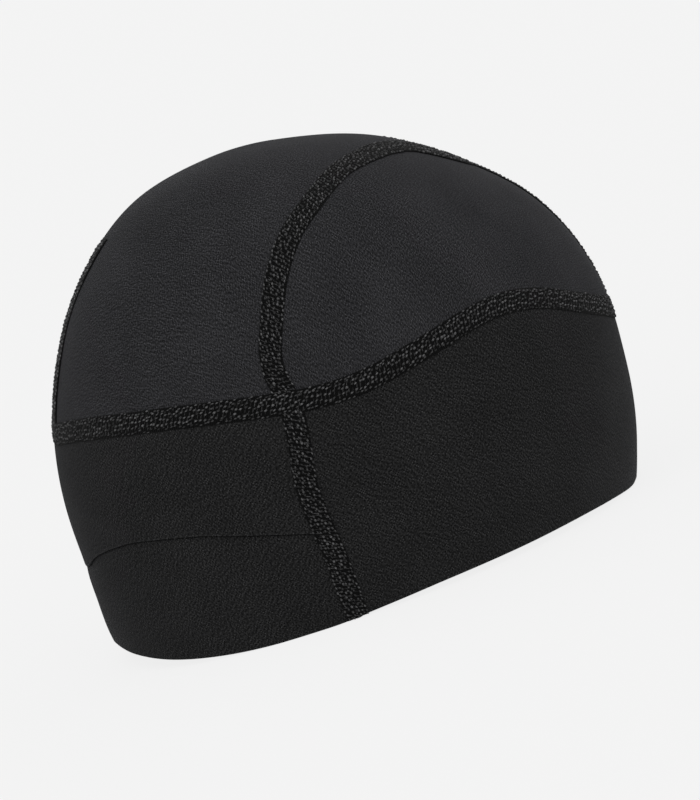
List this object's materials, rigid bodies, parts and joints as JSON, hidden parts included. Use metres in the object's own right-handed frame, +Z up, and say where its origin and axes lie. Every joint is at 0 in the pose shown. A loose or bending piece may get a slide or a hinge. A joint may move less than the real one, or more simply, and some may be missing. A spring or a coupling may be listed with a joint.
{
  "type": "helmet liner cap",
  "caption": "Close-fitting stretch-knit liner cap with a panelled crown, a deep double band over the ears and raised flat seams, standing on its hem.",
  "frame": {"origin": "middle of the bounding box, on the surface the hem stands on", "axes": "+X towards the wearer's front, +Y towards the wearer's left, +Z up"},
  "size_m": [0.2019, 0.1556, 0.154],
  "materials": {
    "crown_cloth": "fine matt stretch jersey, near black with a faint cool cast",
    "band_cloth": "matt brushed stretch knit, black",
    "seam_thread": "flat interlock stitching in black thread with a slight sheen"
  },
  "bodies": {
    "root": {"crown_rear": "crown_cloth", "crown_front_right": "crown_cloth", "crown_front_left": "crown_cloth", "band_front": "band_cloth", "band_rear_outer": "band_cloth", "band_rear_inner": "band_cloth", "seam_crown": "seam_thread", "seam_crown_front": "seam_thread", "seam_dart": "seam_thread", "seam_band": "seam_thread", "seam_ear_right": "seam_thread", "seam_ear_left": "seam_thread"}
  },
  "joints": []
}
